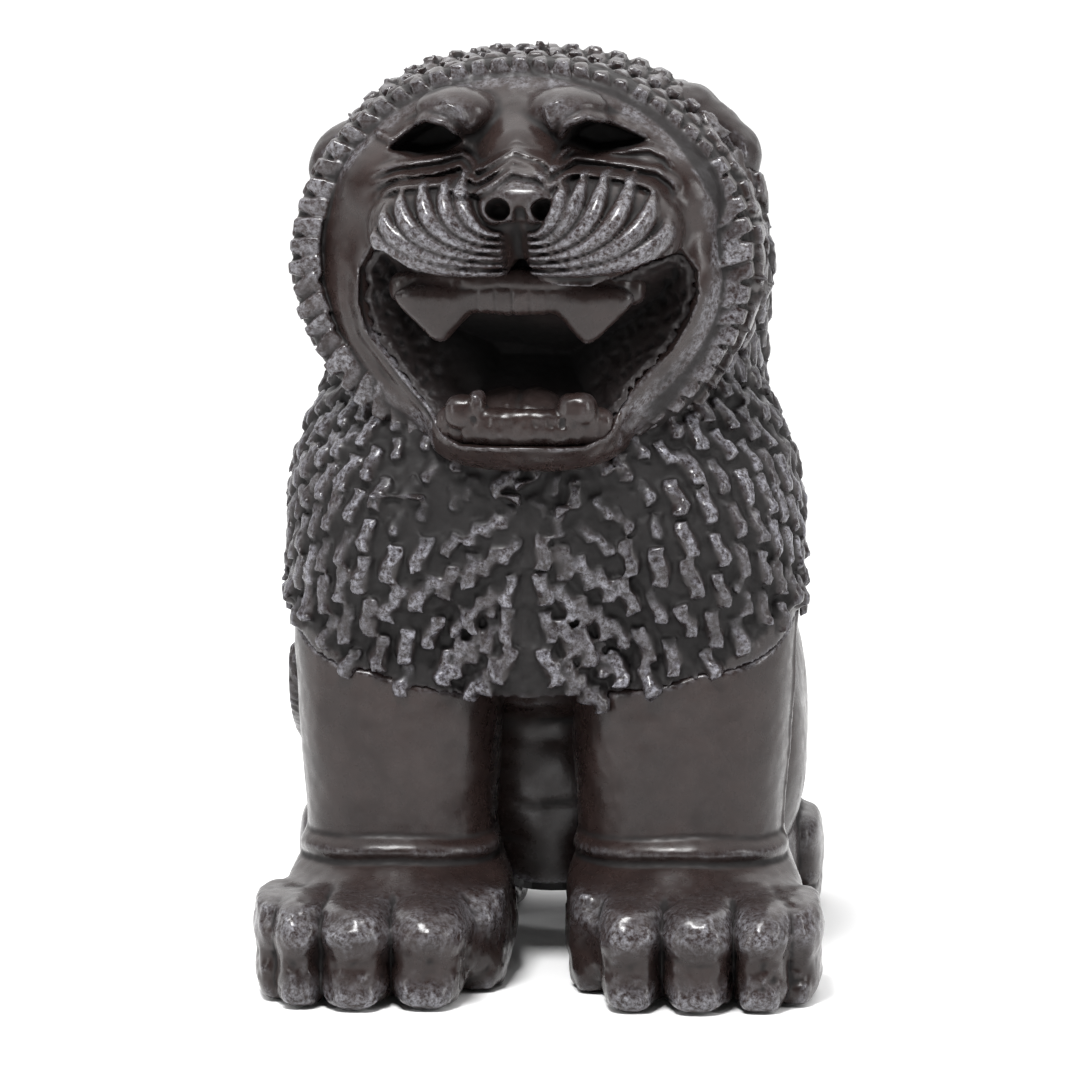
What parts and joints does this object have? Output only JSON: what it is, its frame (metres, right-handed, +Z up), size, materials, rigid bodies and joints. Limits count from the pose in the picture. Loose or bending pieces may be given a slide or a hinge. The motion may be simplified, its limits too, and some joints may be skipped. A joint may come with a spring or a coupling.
{
  "type": "seated lion statuette",
  "caption": "Seated guardian lion statuette with an open roaring mouth, a ruff and a bib of mane, and straight forelegs.",
  "frame": {"origin": "bottom centre of the bounding box, on the surface that the pads rest on", "axes": "+Z up, the lion faces -Y, +X towards the lion's own left"},
  "size_m": [0.12, 0.1604, 0.2003],
  "materials": {
    "brown_cast": "satin",
    "rubbed_cast": "satin",
    "dark_cast": "satin",
    "tongue_brown": "satin",
    "dowel_beech": "matte",
    "felt_black": "matte",
    "plug_rubber": "matte"
  },
  "bodies": {
    "root": {"torso": "brown_cast", "head": "brown_cast", "mouth_liner": "dark_cast", "upper_teeth": "rubbed_cast", "lower_teeth": "rubbed_cast", "tongue": "tongue_brown", "ear_left": "brown_cast", "ear_right": "brown_cast", "foreleg_left": "brown_cast", "foreleg_right": "brown_cast", "hindleg_left": "brown_cast", "hindleg_right": "brown_cast", "tail": "brown_cast", "belly_plug": "plug_rubber", "neck_dowel_left": "dowel_beech", "neck_dowel_right": "dowel_beech", "foreleg_dowel_left": "dowel_beech", "foreleg_dowel_right": "dowel_beech", "hindleg_dowel_left": "dowel_beech", "hindleg_dowel_right": "dowel_beech", "pad_front_left": "felt_black", "pad_front_right": "felt_black", "pad_rear_left": "felt_black", "pad_rear_right": "felt_black"}
  },
  "joints": []
}
